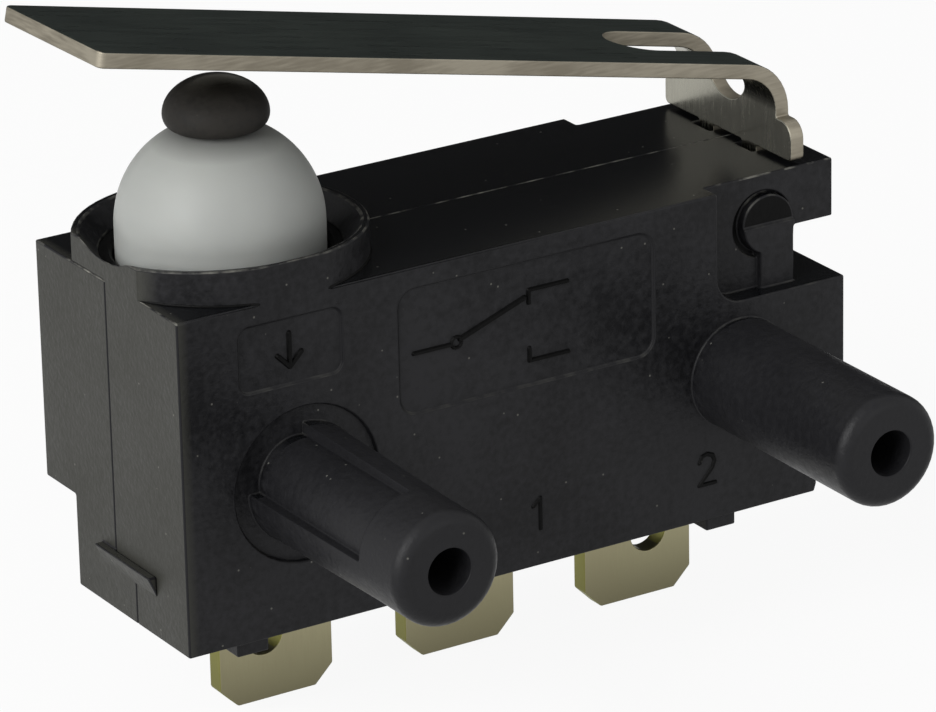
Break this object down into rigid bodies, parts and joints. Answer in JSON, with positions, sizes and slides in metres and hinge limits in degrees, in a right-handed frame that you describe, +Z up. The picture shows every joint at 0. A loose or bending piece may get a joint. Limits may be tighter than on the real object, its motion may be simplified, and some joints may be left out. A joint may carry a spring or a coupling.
{
  "type": "micro switch",
  "caption": "Sealed ultraminiature snap-action micro switch with a bent sheet-metal hinge lever, domed rubber plunger seal, two mounting pegs and flat solder terminals.",
  "frame": {"origin": "where the axis of the plain mounting peg, the one at the hinge end, meets the mounting face", "axes": "+X along the body towards the lever hinge, -Y out along the mounting pegs, +Z up towards the lever"},
  "size_m": [0.0156, 0.0102, 0.014],
  "materials": {
    "housing_plastic": "moulded black PBT, fine satin texture",
    "button_plastic": "moulded matt black plastic",
    "guide_plastic": "moulded black plastic, smooth",
    "silicone": "translucent white silicone rubber, satin",
    "stainless_sheet": "rolled stainless sheet with sheared edges",
    "spring_wire": "drawn spring wire",
    "terminal_brass": "tin-plated brass, brushed along the blade",
    "arm_copper": "rolled copper alloy",
    "contact_silver": "silver alloy, turned",
    "sealing_resin": "cast epoxy resin, slightly sunken"
  },
  "bodies": {
    "housing": {"front_housing": "housing_plastic", "rear_housing": "housing_plastic", "dome_seal": "silicone", "seal_clamp_ring": "guide_plastic", "plunger_guide": "guide_plastic", "return_spring": "spring_wire", "common_terminal": "terminal_brass", "no_terminal": "terminal_brass", "nc_terminal": "terminal_brass", "no_contact": "contact_silver", "nc_contact": "contact_silver", "common_seal": "sealing_resin", "no_seal": "sealing_resin", "nc_seal": "sealing_resin"},
    "lever": {"lever": "stainless_sheet"},
    "plunger": {"plunger": "button_plastic"},
    "actuator": {"actuator_arm": "arm_copper"},
    "contact": {"contact_arm": "arm_copper", "moving_contact": "contact_silver"},
    "snap": {"snap_spring": "spring_wire"}
  },
  "joints": [
    {"name": "lever_pivot", "type": "hinge", "parent": "housing", "child": "lever", "pos_m": [0.00168, 0.00265, 0.00339], "axis": [0, -1, 0], "range_deg": [0, 7], "stiffness_Nm_per_rad": 0.05, "springref_deg": -2.86},
    {"name": "plunger_slide", "type": "slide", "parent": "housing", "child": "plunger", "axis": [0, 0, -1], "range_m": [0, 0.001], "deforming": ["dome_seal", "return_spring"]},
    {"name": "actuator_pivot", "type": "hinge", "parent": "housing", "child": "actuator", "pos_m": [-0.00513, 0.00265, 0.00159], "axis": [0, -1, 0], "range_deg": [0, 12.6]},
    {"name": "contact_pivot", "type": "hinge", "parent": "housing", "child": "contact", "pos_m": [-0.00483, 0.00265, -0.00001], "axis": [0, 1, 0], "range_deg": [0, 7.36]},
    {"name": "snap_slide", "type": "slide", "parent": "housing", "child": "snap", "axis": [0.2425, 0, -0.9701], "range_m": [0, 0.00034]}
  ],
  "couplings": [
    {"joint": "plunger_slide", "follows": "lever_pivot", "m_per_rad": 0.008185},
    {"joint": "actuator_pivot", "follows": "lever_pivot", "ratio": 1.796},
    {"joint": "contact_pivot", "follows": "lever_pivot", "ratio": 1.05},
    {"joint": "snap_slide", "follows": "lever_pivot", "m_per_rad": 0.0027}
  ]
}
